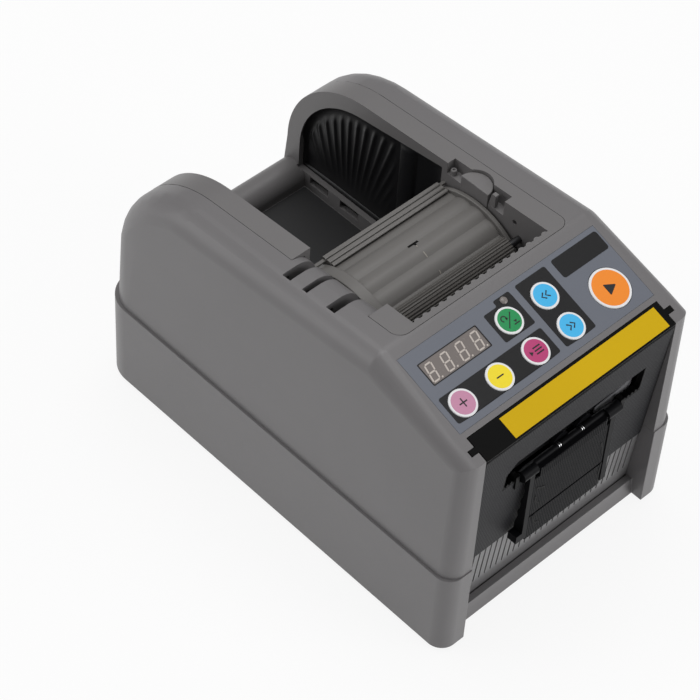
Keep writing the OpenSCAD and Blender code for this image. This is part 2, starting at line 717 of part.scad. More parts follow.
// Feed and cutter mechanism
module chassis(side) mirror([side < 0 ? 1 : 0, 0, 0]) difference() {
    along_x(plate_x[0], plate_x[1])
        polygon([[10.5, 34], [30, 34], [30, 44], [51, 44], [51, 80], [40, 94], [10.5, 94]]);
    rod_x(feed_y, feed_z, 5, 30, 40);
    rod_x(feed_y, press_z, press_shaft_r + run_gap, 30, 40);
    if (side > 0) rod_x(motor_y, motor_z, 4, 30, 40);
    if (side < 0) rod_x(cutter_y, cutter_z, 4, 30, 40);
}
module left_chassis() placed() color("silver") chassis(-1);
module right_chassis() placed() color("silver") chassis(1);
module feed_shaft() placed() color("silver") rod_x(feed_y, feed_z, shaft_r, -39, 45);
module feed_roller() placed() color("#404040") difference() {
    rod_x(feed_y, feed_z, feed_r, -roller_half, roller_half);
    rod_x(feed_y, feed_z, shaft_r, -40, 40);
}
module feed_bushes() placed() color("peru") mirrored() difference() {
    rod_x(feed_y, feed_z, 5, 35.2, 38.2);
    rod_x(feed_y, feed_z, shaft_r + run_gap, 30, 40);
}
module feed_gear() placed() color("ivory") along_x(gear_x[0], gear_x[1]) translate([feed_y, feed_z])
    rotate(motor_turn - 90) gear(feed_teeth, shaft_r);
// A motor can along x with a nose and a bore for its shaft
module motor(y, z) difference() {
    union() {
        rod_x(y, z, motor_r, plate_x[0] - motor_len, plate_x[0]);
        rod_x(y, z, 4, plate_x[0] - 1, plate_x[1]);
    }
    rod_x(y, z, pin_r + run_gap, 20, 40);
}
module feed_motor() placed() color("lightgray") motor(motor_y, motor_z);
module feed_pinion() placed() color("ivory") {
    along_x(gear_x[0], gear_x[1]) translate([motor_y, motor_z])
        rotate(motor_turn + 90 + 180 / pinion_teeth) gear(pinion_teeth, pin_r - eps);
    rod_x(motor_y, motor_z, pin_r, 21, 44.5);
}
module press_roller() placed() color("whitesmoke") difference() {
    rod_x(feed_y, press_z, press_r, -roller_half, roller_half);
    rod_x(feed_y, press_z, press_shaft_r, -40, 40);
}
module press_shaft() placed() color("silver") rod_x(feed_y, press_z, press_shaft_r, -38.6, 38.6);
module press_springs() placed() color("lightsteelblue") mirrored()
    block([37.5, 20, press_z + press_shaft_r + 0.2], [40.5, 36, press_z + press_shaft_r + 0.7]);
module blade_bed() placed() color("gray") difference() {
    union() {
        block([-36, 7.6, 57], [36, 19, 61]);
        block([-36, 13.6, 60], [36, 19, 70]);
    }
    for (x = [-rod_x, rod_x]) translate([x, rod_y, rod_z[0]]) cylinder(r = rod_r, h = 10);
}
module fixed_blade() placed() color("lightgray") along_x(-35, 35)
    polygon([[12.1, 61], [13.6, 61], [13.6, 80.6], [12.1, blade_edge_z]]);
module guide_rods() placed() color("silver") for (x = [-rod_x, rod_x])
    translate([x, rod_y, rod_z[0]]) cylinder(r = rod_r, h = rod_z[1] - rod_z[0]);
module blade_carriage() placed() color("#505050") {
    rack_x = [-42.5, -38.5];
    tooth_pitch = PI * gear_m;
    difference() {
        block([rack_x[0], 5.4, 92], [35.5, 10.2, 100]);
        for (x = [-rod_x, rod_x]) translate([x, rod_y, 80]) cylinder(r = rod_r + run_gap, h = 40);
    }
    // Rack: a gap faces the pinion at rest
    along_x(rack_x[0], rack_x[1]) polygon(concat(
        [[rack_y - 4.4, 99], [rack_y - 4.4, 35]],
        [for (i = [-3:5]) for (k = [[-1.2, -1], [0.9, -1], [0.9, 1], [-1.2, 1]])
            [rack_y + k.x * gear_m,
             cutter_z + (i + 0.5) * tooth_pitch + k.y * (tooth_pitch / 4 - 0.12 - k.x * gear_m * tan(25))]],
        [[rack_y - 1.2, 99]]
    ));
}
module moving_blade() placed() color("lightgray") translate([0, 11.8, 0]) rotate([90, 0, 0])
    linear_extrude(1.6) polygon([[-34.5, 85.5], [34.5, 87.5], [34.5, 98], [-34.5, 98]]);
module cutter_motor() placed() color("lightgray") mirror([1, 0, 0]) motor(cutter_y, cutter_z);
module cutter_pinion() placed() color("ivory") mirror([1, 0, 0]) {
    along_x(38.6, 43) translate([cutter_y, cutter_z]) rotate(180) gear(cutter_teeth, pin_r - eps);
    rod_x(cutter_y, cutter_z, pin_r, 21, 44.5);
}

// Electrics in the base
module power_board() placed() color("darkgreen") {
    block([-45, 110, 9], [45, 178, 10.6]);
    block([-38, 118, 10.5], [-8, 146, 34]);
    for (x = [8, 24]) translate([x, 130, 10.5]) cylinder(r = 6, h = 22);
    for (x = [-40, 40]) for (y = [114, 174]) translate([x, y, wall]) cylinder(r = 3, h = 7);
    block([-2, 152, 10.5], [36, 166, 24]);
}
// Round inlet with its socket and centre pin
module power_inlet() placed() color("#202020") translate([inlet_at.x, body_l, inlet_at.y])
    rotate([90, 0, 0]) {
        difference() {
            union() {
                cylinder(r = inlet_r, h = 4);
                block([-inlet_half, -inlet_half, wall + 0.01], [inlet_half, inlet_half, 13]);
            }
            translate([0, 0, -1]) cylinder(r = inlet_socket_r, h = 11);
        }
        translate([0, 0, 1]) cylinder(r = 1, h = 10);
    }
module switch_body() placed() color("#181818") translate([switch_at.x, body_l, switch_at.y]) difference() {
    block([-switch_half.x, -switch_depth, -switch_half.y], [switch_half.x, 0, switch_half.y]);
    block([switch_wall - switch_half.x, -7, switch_wall - switch_half.y],
          [switch_half.x - switch_wall, 1, switch_half.y - switch_wall]);
    rod_x(-rocker_depth, 0, rocker_pin_r + run_gap, -6.2, 6.2);
}
// Rocker at rest with its upper half pressed in
module power_rocker() placed() color("#101010") translate([switch_at.x, body_l - rocker_depth, switch_at.y])
    rotate([rocker_tilt, 0, 0]) {
        along_x(-rocker_half.x, rocker_half.x) polygon([[-1.5, -rocker_half.y], [1.2, -rocker_half.y],
            [2.4, 0], [1.2, rocker_half.y], [-1.5, rocker_half.y]]);
        rod_x(0, 0, rocker_pin_r, -6, 6);
    }
module rubber_feet() placed() color("#202020") for (p = foot_places)
    translate([p.x, p.y, -foot_h]) cylinder(r = foot_r, h = foot_h);
module case_screws() placed() color("silver") for (p = boss_places) translate([p.x, p.y, screw_head_z]) {
    translate([0, 0, -2.2]) cylinder(r = 2.8, h = 2.2);
    cylinder(r = screw_r, h = 22);
}

base_tray();
upper_shell();
well_frame();
front_lower_panel();
cutter_cover();
cover_band();
outlet_guide();
outlet_pins();
left_side_plate();
right_side_plate();
rear_guide_bar();
axle_cap();
drum_axle();
guide_drum();
drum_flanges();
pinch_roller();
pinch_pin();
panel_overlay();
display_module();
display_window();
status_lamp();
plus_key();
minus_key();
select_key();
mode_key();
reverse_key();
forward_key();
start_key();
control_board();
tact_switches();
left_chassis();
right_chassis();
feed_shaft();
feed_roller();
feed_gear();
feed_bushes();
feed_motor();
feed_pinion();
press_roller();
press_shaft();
press_springs();
blade_bed();
fixed_blade();
guide_rods();
blade_carriage();
moving_blade();
cutter_motor();
cutter_pinion();
power_board();
power_inlet();
switch_body();
power_rocker();
rubber_feet();
case_screws();
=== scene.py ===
import math

import bmesh
import bpy
from mathutils import Matrix, Vector
from mathutils.geometry import tessellate_polygon


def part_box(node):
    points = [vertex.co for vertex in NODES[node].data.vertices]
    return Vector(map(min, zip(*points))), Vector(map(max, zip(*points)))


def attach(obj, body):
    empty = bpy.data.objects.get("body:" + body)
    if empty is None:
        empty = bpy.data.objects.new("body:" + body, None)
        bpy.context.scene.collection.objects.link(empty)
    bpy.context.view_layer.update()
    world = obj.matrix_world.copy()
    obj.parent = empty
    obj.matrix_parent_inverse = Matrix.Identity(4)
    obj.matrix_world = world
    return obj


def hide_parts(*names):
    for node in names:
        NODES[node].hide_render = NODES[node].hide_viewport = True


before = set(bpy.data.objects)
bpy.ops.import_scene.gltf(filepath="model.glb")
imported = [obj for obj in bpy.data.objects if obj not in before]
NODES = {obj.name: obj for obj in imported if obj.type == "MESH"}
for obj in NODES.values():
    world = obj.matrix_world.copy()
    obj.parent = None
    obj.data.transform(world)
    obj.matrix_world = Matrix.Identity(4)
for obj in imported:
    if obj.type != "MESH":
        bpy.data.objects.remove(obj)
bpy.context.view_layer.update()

# Frame: millimetres from the front plane and the underside of the base, as in the part's source
MM = 0.001
FRONT = Vector((0.0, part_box("base_tray")[0].y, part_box("base_tray")[0].z))
FRONT_H = 105.0
PANEL_SLOPE = math.radians(19)
COVER_LEAN = math.radians(5.1)
COVER_Y = 0.3


def place(x, y, z):
    """Front coordinates in mm to the row frame in metres."""
    return FRONT + Vector((x, y, z)) * MM


UPRIGHT = Matrix.Translation(FRONT) @ Matrix.Scale(MM, 4)
PANEL = UPRIGHT @ Matrix.Translation((0, 0, FRONT_H)) @ Matrix.Rotation(PANEL_SLOPE, 4, "X")
COVER = UPRIGHT @ Matrix.Translation((0, COVER_Y, FRONT_H)) @ Matrix.Rotation(COVER_LEAN, 4, "X")


# Camera: the photograph's viewpoint, fitted to the edges of the body
CAMERA_AT = (-522.85, -374.37, 828.71)
CAMERA_AZIMUTH = math.radians(-46.70)
CAMERA_ELEVATION = math.radians(48.10)
CAMERA_ROLL = math.radians(4.16)
CAMERA_LENS, CAMERA_SENSOR = 136.54, 36
CAMERA_NEAR = 10


def make_camera():
    a, e = CAMERA_AZIMUTH, CAMERA_ELEVATION
    back = Vector((math.sin(a) * math.cos(e), -math.cos(a) * math.cos(e), math.sin(e)))
    level = Vector((math.cos(a), math.sin(a), 0))
    rise = back.cross(level)
    right = level * math.cos(CAMERA_ROLL) + rise * math.sin(CAMERA_ROLL)
    up = rise * math.cos(CAMERA_ROLL) - level * math.sin(CAMERA_ROLL)
    camera = bpy.data.objects.new("camera", bpy.data.cameras.new("camera"))
    bpy.context.scene.collection.objects.link(camera)
    pose = Matrix((right, up, back)).transposed().to_4x4()
    pose.translation = place(*CAMERA_AT)
    camera.matrix_world = pose
    camera.data.lens = CAMERA_LENS
    camera.data.sensor_width = CAMERA_SENSOR
    camera.data.clip_start = CAMERA_NEAR * MM
    bpy.context.scene.camera = camera


make_camera()


# Materials: sizes and depths in millimetres
NOISE_LOW, NOISE_HIGH = 0.25, 0.75
CLOUD_SIZE, GRAIN_DEPTH, GLOSS_DRIFT = 35, 0.05, 0.05
METAL_CLOUD_SIZE, LINE_SIZE, LINE_DEPTH = 20, 3, 0.03
LINE_BRIGHT, LINE_DULL = 0.08, 0.1
# Sockets of the Mix node when it mixes colours
MIX_FACTOR, MIX_FIRST, MIX_SECOND, MIX_COLOUR = 0, 6, 7, 2


def blank(name):
    material = bpy.data.materials.new(name)
    material.use_nodes = True
    tree = material.node_tree
    return material, tree, tree.nodes["Principled BSDF"]


def add(tree, kind, values=None, **settings):
    """A node with its settings and the constant values of its sockets."""
    node = tree.nodes.new(kind)
    for key, value in settings.items():
        setattr(node, key, value)
    for key, value in (values or {}).items():
        node.inputs[key].default_value = value
    return node


def noise(tree, coords, size, detail=3.0, stretch=None):
    """A noise with a grain of about a size, stretched along an axis if asked."""
    texture = add(tree, "ShaderNodeTexNoise", {"Scale": 1.0 / (size * MM), "Detail": detail})
    if stretch:
        mapping = add(tree, "ShaderNodeMapping", {"Scale": stretch})
        tree.links.new(coords, mapping.inputs["Vector"])
        coords = mapping.outputs["Vector"]
    tree.links.new(coords, texture.inputs["Vector"])
    return texture.outputs["Fac"]


def spread(tree, factor, low, high):
    """Maps a noise to a range of values."""
    values = {"From Min": NOISE_LOW, "From Max": NOISE_HIGH, "To Min": low, "To Max": high}
    ranged = add(tree, "ShaderNodeMapRange", values)
    tree.links.new(factor, ranged.inputs["Value"])
    return ranged.outputs["Result"]


def shades(tree, factor, colour, tint):
    """A colour that drifts by a share of itself."""
    mix = add(tree, "ShaderNodeMix", data_type="RGBA")
    mix.inputs[MIX_FIRST].default_value = (*[c * (1 - tint) for c in colour], 1)
    mix.inputs[MIX_SECOND].default_value = (*[min(1, c * (1 + tint)) for c in colour], 1)
    tree.links.new(factor, mix.inputs[MIX_FACTOR])
    return mix.outputs[MIX_COLOUR]


def emboss(tree, shader, height, strength, depth):
    """Gives a shader a fine relief."""
    relief = add(tree, "ShaderNodeBump", {"Strength": strength, "Distance": depth * MM})
    tree.links.new(height, relief.inputs["Height"])
    tree.links.new(relief.outputs["Normal"], shader.inputs["Normal"])


def plastic(name, colour, rough=0.45, grain=0.35, bump=0.12, tint=0.06, shine=0.5):
    """Moulded plastic: drifting colour, uneven gloss and a fine eroded grain."""
    material, tree, shader = blank(name)
    coords = add(tree, "ShaderNodeTexCoord").outputs["Object"]
    cloud = noise(tree, coords, CLOUD_SIZE)
    fine = noise(tree, coords, grain, detail=2.0)
    tree.links.new(shades(tree, cloud, colour, tint), shader.inputs["Base Color"])
    gloss = spread(tree, fine, rough - GLOSS_DRIFT, rough + GLOSS_DRIFT)
    tree.links.new(gloss, shader.inputs["Roughness"])
    emboss(tree, shader, fine, bump, GRAIN_DEPTH)
    shader.inputs["Specular IOR Level"].default_value = shine
    return material


def metal(name, colour, rough=0.28, stretch=(1, 30, 30), bump=0.15, tint=0.08):
    """Metal with fine drawn or ground lines."""
    material, tree, shader = blank(name)
    coords = add(tree, "ShaderNodeTexCoord").outputs["Object"]
    cloud = noise(tree, coords, METAL_CLOUD_SIZE)
    lines = noise(tree, coords, LINE_SIZE, detail=4.0, stretch=stretch)
    tree.links.new(shades(tree, cloud, colour, tint), shader.inputs["Base Color"])
    gloss = spread(tree, lines, rough - LINE_BRIGHT, rough + LINE_DULL)
    tree.links.new(gloss, shader.inputs["Roughness"])
    emboss(tree, shader, lines, bump, LINE_DEPTH)
    shader.inputs["Metallic"].default_value = 1.0
    return material


# Moulded greys and blacks
HOUSING = plastic("housing_grey", (0.158, 0.152, 0.155), rough=0.40, grain=0.4, bump=0.10)
FRAME_GREY = plastic("frame_grey", (0.155, 0.149, 0.150), rough=0.42, grain=0.4, bump=0.10)
PANEL_GREY = plastic("lower_panel_grey", (0.150, 0.147, 0.150), rough=0.36, bump=0.08)
DRUM_GREY = plastic("drum_grey", (0.142, 0.136, 0.130), rough=0.38, grain=0.5, bump=0.08)
ROLLER_GREY = plastic("roller_grey", (0.110, 0.104, 0.098), rough=0.42, grain=0.5, bump=0.08, shine=0.3)
SEAM_PALE = plastic("drum_seam_pale", (0.30, 0.28, 0.25), rough=0.40, grain=0.5, bump=0.05)
# Near-black of the cover's top strip, also the drum notch and guide hooks; on the strip it is partly glossy
# black plastic, partly painted shade
STRIP_BLACK = plastic("strip_black", (0.004, 0.004, 0.004), rough=0.45, grain=0.4, bump=0.06, shine=0.08)
COVER_BLACK = plastic("cover_charcoal", (0.019, 0.019, 0.021), rough=0.42, grain=0.3, bump=0.1, shine=0.09)
GUIDE_GREY = plastic("guide_grey", (0.012, 0.012, 0.013), rough=0.36, grain=0.4, bump=0.08, shine=0.04)
GUIDE_BLACK = plastic("guide_black", (0.006, 0.006, 0.007), rough=0.38, grain=0.6, bump=0.06, shine=0.06)
# Grey of the outlet support's lip and of the ledge; on the lip it is painted light, against the plate's
# black lower part
SUPPORT_GREY = plastic("outlet_support_grey", (0.20, 0.20, 0.21), rough=0.45, shine=0.3)
# Dark sheet on the well floor: painted shade of the deep well, partly the floor's own dark grey
WELL_SHADE_DARK = plastic("well_floor_painted_shade", (0.024, 0.024, 0.025), rough=0.55, grain=0.5, bump=0.15, shine=0.3)
SIDE_BLACK = plastic("side_plate_black", (0.007, 0.007, 0.008), rough=0.40, grain=0.6, bump=0.06, shine=0.3)
PART_BLACK = plastic("part_black", (0.012, 0.012, 0.012), rough=0.4)

# Prints, window, lamp and keys
PRINTED = {"grain": 0.7, "bump": 0.03}
OVERLAY_BLUE = plastic("overlay_blue_grey", (0.137, 0.148, 0.177), rough=0.40, tint=0.04, **PRINTED)
PRINT_BLACK = plastic("print_black", (0.012, 0.012, 0.013), rough=0.36, shine=0.35, **PRINTED)
RING_WHITE = plastic("ring_white", (0.80, 0.80, 0.81), rough=0.42, tint=0.02, **PRINTED)
INK_DARK = plastic("ink_dark", (0.012, 0.012, 0.014), rough=0.45, grain=0.7, bump=0.02)
BAND_YELLOW = plastic("band_yellow", (0.62, 0.40, 0.005), rough=0.40, grain=0.8, bump=0.03, tint=0.04,
                      shine=0.15)
SEGMENT_PALE = plastic("segment_pale", (0.52, 0.47, 0.43), rough=0.40, grain=0.7, bump=0.02, tint=0.03,
                       shine=0.3)
WINDOW_SMOKE = plastic("window_smoke", (0.185, 0.163, 0.154), rough=0.24, grain=1.0, bump=0.02)
LAMP_FROST = plastic("lamp_frost", (0.20, 0.18, 0.17), rough=0.3, bump=0.05)
KEY_TONES = {
    "key_pink": (0.55, 0.25, 0.38),
    "key_yellow": (0.90, 0.72, 0.02),
    "key_magenta": (0.47, 0.045, 0.17),
    "key_green": (0.010, 0.27, 0.08),
    "key_blue": (0.055, 0.46, 0.82),
    "key_orange": (0.90, 0.26, 0.018),
}
KEY_COLOURS = {name: plastic(name, tone, rough=0.42, tint=0.03, **PRINTED)
               for name, tone in KEY_TONES.items()}

# Inside parts, feet, pins and screws
BOARD_GREEN = plastic("board_green", (0.02, 0.12, 0.05), rough=0.35, grain=0.8)
RUBBER_DARK = plastic("rubber_dark", (0.02, 0.02, 0.02), rough=0.75, grain=0.6, bump=0.25)
RUBBER_PALE = plastic("rubber_pale", (0.66, 0.66, 0.64), rough=0.6, grain=0.8, bump=0.15)
NYLON = plastic("nylon_natural", (0.75, 0.71, 0.6), rough=0.5)
STEEL = metal("steel_ground", (0.58, 0.58, 0.59))
# Dark steel of the outlet pins; on the pinch pin this darkness is painted shade
DARK_STEEL_AND_SHADE = metal("steel_dark_and_painted_shade", (0.10, 0.10, 0.105), rough=0.4)
STEEL_ZINC = metal("steel_zinc", (0.5, 0.5, 0.5), rough=0.35, stretch=(20, 20, 1))
STEEL_BLADE = metal("steel_blade", (0.62, 0.62, 0.64), rough=0.22, stretch=(30, 30, 1))
ALLOY = metal("alloy_machined", (0.6, 0.6, 0.62), rough=0.38)
BRONZE = metal("bronze_sintered", (0.5, 0.3, 0.13), rough=0.5, stretch=(4, 4, 4))


# Mesh building, in millimetres
def fillet(corners, radius, steps=4):
    """Rounds the corners of a flat outline."""
    outline = []
    for i, corner in enumerate(corners):
        here = Vector(corner)
        to_last = Vector(corners[i - 1]) - here
        to_next = Vector(corners[(i + 1) % len(corners)]) - here
        half = to_last.angle(to_next) / 2
        cut = min(radius / math.tan(half), to_last.length / 2, to_next.length / 2)
        toward = (to_last.normalized() + to_next.normalized()).normalized()
        centre = here + toward * (cut / math.cos(half))
        start = here + to_last.normalized() * cut - centre
        end = here + to_next.normalized() * cut - centre
        turn = start.angle_signed(end)
        for k in range(steps + 1):
            a = -turn * k / steps
            outline.append((centre.x + start.x * math.cos(a) - start.y * math.sin(a),
                            centre.y + start.x * math.sin(a) + start.y * math.cos(a)))
    return outline


def disc(x, y, radius, steps=48):
    """Points round a circle."""
    angles = [2 * math.pi * k / steps for k in range(steps)]
    return [(x + radius * math.cos(a), y + radius * math.sin(a)) for a in angles]


def arc(x, y, radius, start, end, steps):
    """Points on a circle between two angles in degrees."""
    angles = [math.radians(start + (end - start) * k / steps) for k in range(steps + 1)]
    return [(x + radius * math.cos(a), y + radius * math.sin(a)) for a in angles]


def rectangle(x0, y0, x1, y1, radius=0.0):
    corners = [(x0, y0), (x1, y0), (x1, y1), (x0, y1)]
    return fillet(corners, radius) if radius else corners


def ribbon(path, width):
    """Outline of a stroke of constant width along a path."""
    points = [Vector(p) for p in path]
    left, right = [], []
    for i, p in enumerate(points):
        along = (points[min(i + 1, len(points) - 1)] - points[max(i - 1, 0)]).normalized()
        side = Vector((-along.y, along.x)) * width / 2
        left.append(tuple(p + side))
        right.append(tuple(p - side))
    return left + right[::-1]


# How an outline lies: the axes of its two directions and of its thickness
LIE_FLAT = (0, 1, 2)
ALONG_X = (1, 2, 0)
ALONG_Y = (0, 2, 1)


class Shape:
    """Bodies gathered into one mesh."""

    def __init__(self):
        self.points, self.faces = [], []

    def add(self, points, faces):
        base = len(self.points)
        self.points += points
        self.faces += [[base + i for i in face] for face in faces]
        return self

    def prism(self, outline, low, high, holes=(), lie=LIE_FLAT):
        """A flat outline with holes, made solid from low to high along the third axis."""
        loops = [outline, *holes]
        flat = [p for loop in loops for p in loop]
        count = len(flat)
        caps = tessellate_polygon([[Vector((*p, 0)) for p in loop] for loop in loops])
        faces = [list(t) for t in caps] + [[i + count for i in t[::-1]] for t in caps]
        first = 0
        for loop in loops:
            size = len(loop)
            for k in range(size):
                a, b = first + k, first + (k + 1) % size
                faces.append([a, b, b + count, a + count])
            first += size
        solid = [(*p, low) for p in flat] + [(*p, high) for p in flat]
        return self.add([tuple(p[lie.index(axis)] for axis in range(3)) for p in solid], faces)

    def lathe(self, profile, at, steps=48):
        """Turns a profile of (radius, height) that starts and ends on the axis."""
        rings = profile[1:-1]
        points = [(*at, profile[0][1])]
        for radius, height in rings:
            points += [(x, y, height) for x, y in disc(*at, radius, steps)]
        points.append((*at, profile[-1][1]))
        faces = [[0, 1 + k, 1 + (k + 1) % steps] for k in range(steps)]
        for r in range(len(rings) - 1):
            a, b = 1 + r * steps, 1 + (r + 1) * steps
            faces += [[a + k, b + k, b + (k + 1) % steps, a + (k + 1) % steps] for k in range(steps)]
        last = 1 + (len(rings) - 1) * steps
        faces += [[len(points) - 1, last + (k + 1) % steps, last + k] for k in range(steps)]
        return self.add(points, faces)


def smooth_by_angle(name, limit):
    """Node group that shades smooth, apart from edges sharper than an angle."""
    group = bpy.data.node_groups.new(name, "GeometryNodeTree")
    group.interface.new_socket("Geometry", in_out="INPUT", socket_type="NodeSocketGeometry")
    group.interface.new_socket("Geometry", in_out="OUTPUT", socket_type="NodeSocketGeometry")
    start, end = group.nodes.new("NodeGroupInput"), group.nodes.new("NodeGroupOutput")
    plain = add(group, "GeometryNodeRemoveAttribute", {"Name": "custom_normal"})
    faces = add(group, "GeometryNodeSetShadeSmooth", {"Shade Smooth": True}, domain="FACE")
    edges = add(group, "GeometryNodeSetShadeSmooth", {"Shade Smooth": False}, domain="EDGE")
    angle = add(group, "GeometryNodeInputMeshEdgeAngle")
    sharp = add(group, "FunctionNodeCompare", {"B": limit}, data_type="FLOAT", operation="GREATER_THAN")
    group.links.new(start.outputs[0], plain.inputs["Geometry"])
    group.links.new(plain.outputs["Geometry"], faces.inputs["Geometry"])
    group.links.new(faces.outputs["Geometry"], edges.inputs["Geometry"])
    group.links.new(angle.outputs["Unsigned Angle"], sharp.inputs["A"])
    group.links.new(sharp.outputs["Result"], edges.inputs["Selection"])
    group.links.new(edges.outputs["Geometry"], end.inputs[0])
    return group


SHARP_ANGLE, CREASE_ANGLE = math.radians(34), math.radians(18)
SMOOTH = smooth_by_angle("smooth_by_angle", SHARP_ANGLE)
CREASED = smooth_by_angle("smooth_with_creases", CREASE_ANGLE)
EDGE_STEPS = 2


def finish_edges(thing, width, group=SMOOTH):
    """Rounds the sharp edges by a width in mm and shades the rest smooth."""
    thing.modifiers.new("smooth", "NODES").node_group = group
    if width:
        edges = thing.modifiers.new("edges", "BEVEL")
        edges.width = width * MM
        edges.segments = EDGE_STEPS
        edges.limit_method = "ANGLE"
        edges.angle_limit = SHARP_ANGLE
        edges.use_clamp_overlap = True
    shade = thing.modifiers.new("shade", "WEIGHTED_NORMAL")
    shade.keep_sharp = True


def piece(name, shape, material, body, pose=UPRIGHT, edge=0.0):
    """Makes a shape one object that rides on a body."""
    mesh = bpy.data.meshes.new(name)
    mesh.from_pydata([pose @ Vector(p) for p in shape.points], [], shape.faces)
    work = bmesh.new()
    work.from_mesh(mesh)
    bmesh.ops.recalc_face_normals(work, faces=work.faces)
    work.to_mesh(mesh)
    work.free()
    mesh.materials.append(material)
    thing = bpy.data.objects.new(name, mesh)
    bpy.context.scene.collection.objects.link(thing)
    finish_edges(thing, edge)
    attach(thing, body)
    return thing


# Control panel. Places are x across and s up the slope, and heights stand on the overlay.
LOWER_ROW, UPPER_ROW = 22.7, 37.6
KEYS = {
    "plus": (-42.1, LOWER_ROW),
    "minus": (-23.2, LOWER_ROW),
    "select": (-4.4, LOWER_ROW),
    "mode": (-4.4, UPPER_ROW),
    "reverse": (14.5, UPPER_ROW),
    "forward": (14.5, LOWER_ROW),
    "start": (38.7, 25.8),
}
KEY_INKS = {
    "plus": "key_pink",
    "minus": "key_yellow",
    "select": "key_magenta",
    "mode": "key_green",
    "reverse": "key_blue",
    "forward": "key_blue",
    "start": "key_orange",
}
KEY_R, START_R, KEY_GAP = 5.7, 8.6, 0.25
KEY_RING, START_RING = 0.92, 1.0
KEY_TOP, SIGN_T = 0.3, 0.16
LAMP_AT, LAMP_R, LAMP_GAP = (-0.5, 45), 1.6, 0.1


# Printed fields and badge
PRINT_T = 0.06
LOWER_FIELD, PAIR_FIELD, FIELD_ROUND = (-49.2, 17.2, 3.8, 28.9), (6.9, 17.15, 22.8, 47), 0.9
MODE_FIELD = [(-11.8, 31.4), (3.7, 31.4), (3.7, 44.4), (3.5, 46.9), (-4.6, 46.9), (-4.6, 44.4),
              (-11.8, 44.4)]
MODE_ROUND = 0.8
BADGE, BADGE_ROUND = (26.2, 38.6, 50.7, 47.1), 1.2


def key_holes(*keys):
    return [disc(*KEYS[key], KEY_R + KEY_GAP) for key in keys]


def printed(name, outline, holes=()):
    """A thin dark print on the overlay."""
    field = Shape().prism(outline, 0, PRINT_T, holes)
    piece(name, field, PRINT_BLACK, "housing", PANEL)


def make_prints():
    lamp_hole = disc(*LAMP_AT, LAMP_R + LAMP_GAP)
    printed("lower_key_field", rectangle(*LOWER_FIELD, FIELD_ROUND), key_holes("plus", "minus", "select"))
    printed("mode_key_field", fillet(MODE_FIELD, MODE_ROUND), [*key_holes("mode"), lamp_hole])
    printed("pair_key_field", rectangle(*PAIR_FIELD, FIELD_ROUND), key_holes("reverse", "forward"))
    printed("bare_badge", rectangle(*BADGE, BADGE_ROUND))


# Signs on the keys: outlines about a key's centre
PEN, BOLD_PEN = 0.52, 0.55
LOOP_PEN, HAND_PEN, DIVIDER_PEN = 0.42, 0.45, 0.4


def plus_sign(arm=1.9):
    level = ribbon([(-arm, 0), (arm, 0)], PEN)
    halves = [ribbon([(0, low), (0, high)], PEN) for low, high in ((-arm, -PEN / 2), (PEN / 2, arm))]
    return [level, *halves]


def minus_sign(arm=1.7):
    return [ribbon([(-arm, 0), (arm, 0)], PEN)]


def select_sign(left=-0.7, right=2.9, pitch=1.3):
    """Three bars and a pointer."""
    bars = [ribbon([(left, s), (right, s)], BOLD_PEN) for s in (-pitch, 0, pitch)]
    pointer = [(-2.9, -0.95), (-1.4, 0), (-2.9, 0.95)]
    return [*bars, pointer]


def mode_sign():
    """A loop and a hand-feed mark with a divider between them."""
    divider = ribbon([(-2.3, -2.6), (2.3, 2.6)], DIVIDER_PEN)
    loop = ribbon(arc(-1.7, 1.5, 1.15, -30, 240, 14), LOOP_PEN)
    loop_head = [(-0.95, 0.35), (0.05, 1.15), (-1.1, 1.5)]
    hand_line = ribbon([(0.5, -2.4), (3.1, -2.4)], HAND_PEN)
    hand_head = [(1.0, -1.0), (2.6, -1.0), (1.8, -2.0)]
    return [divider, loop, loop_head, hand_line, hand_head]


def arrows_sign(way, reach=0.75, half=1.35, offset=0.95):
    """Two arrow heads that point one way."""
    return [ribbon([(way * (x - reach), -half), (way * (x + reach), 0), (way * (x - reach), half)], BOLD_PEN)
            for x in (-offset, offset)]


def start_sign():
    return [fillet([(-2.0, -2.6), (2.9, 0), (-2.0, 2.6)], 0.3)]


SIGNS = {
    "plus": plus_sign(),
    "minus": minus_sign(),
    "select": select_sign(),
    "mode": mode_sign(),
    "reverse": arrows_sign(-1),
    "forward": arrows_sign(1),
    "start": start_sign(),
}


def key_crown(radius):
    """Profile of a key's coloured face, sunk into its ring and slightly crowned."""
    side = [(0, -0.05), (radius, -0.05), (radius, 0.03)]
    dome = [(radius - 0.15, 0.07), (radius * 0.5, 0.1), (0, 0.11)]
    return [(r, KEY_TOP + h) for r, h in side + dome]


def make_keys():
    for key, at in KEYS.items():
        body, ink = key + "_button", KEY_INKS[key]
        face_r = START_R - START_RING if key == "start" else KEY_R - KEY_RING
        piece(key + "_face", Shape().lathe(key_crown(face_r), at), KEY_COLOURS[ink], body, PANEL)
        sign = Shape()
        for outline in SIGNS[key]:
            sign.prism([(at[0] + x, at[1] + s) for x, s in outline], KEY_TOP, KEY_TOP + SIGN_T)
        piece(key + "_sign", sign, INK_DARK, body, PANEL)


# Display and lamp
DIGIT_COUNT, DIGIT_PITCH, DIGIT_AT = 4, 7.67, (-46.07, 34.5)
DIGIT_W, DIGIT_H, DIGIT_T = 3.7, 7.65, 0.05
DIGIT_SLANT = math.tan(math.radians(11))
STROKE, STROKE_GAP = 0.64, 0.12
POINT_R, POINT_GAP = 0.6 * STROKE, 0.95
WINDOW, WINDOW_ROUND = (-46.7, 33.6, -16.8, 43.6), 0.7
SIGHT, SIGHT_ROUND = (-46.2, 34.0, -17.3, 43.2), 0.5
RIM_LOW, RIM_HIGH = -0.06, 0.042
LAMP_DOME = [(0, -0.45), (1.55, -0.45), (1.55, 0.1), (1.28, 0.42), (0.72, 0.62), (0, 0.7)]


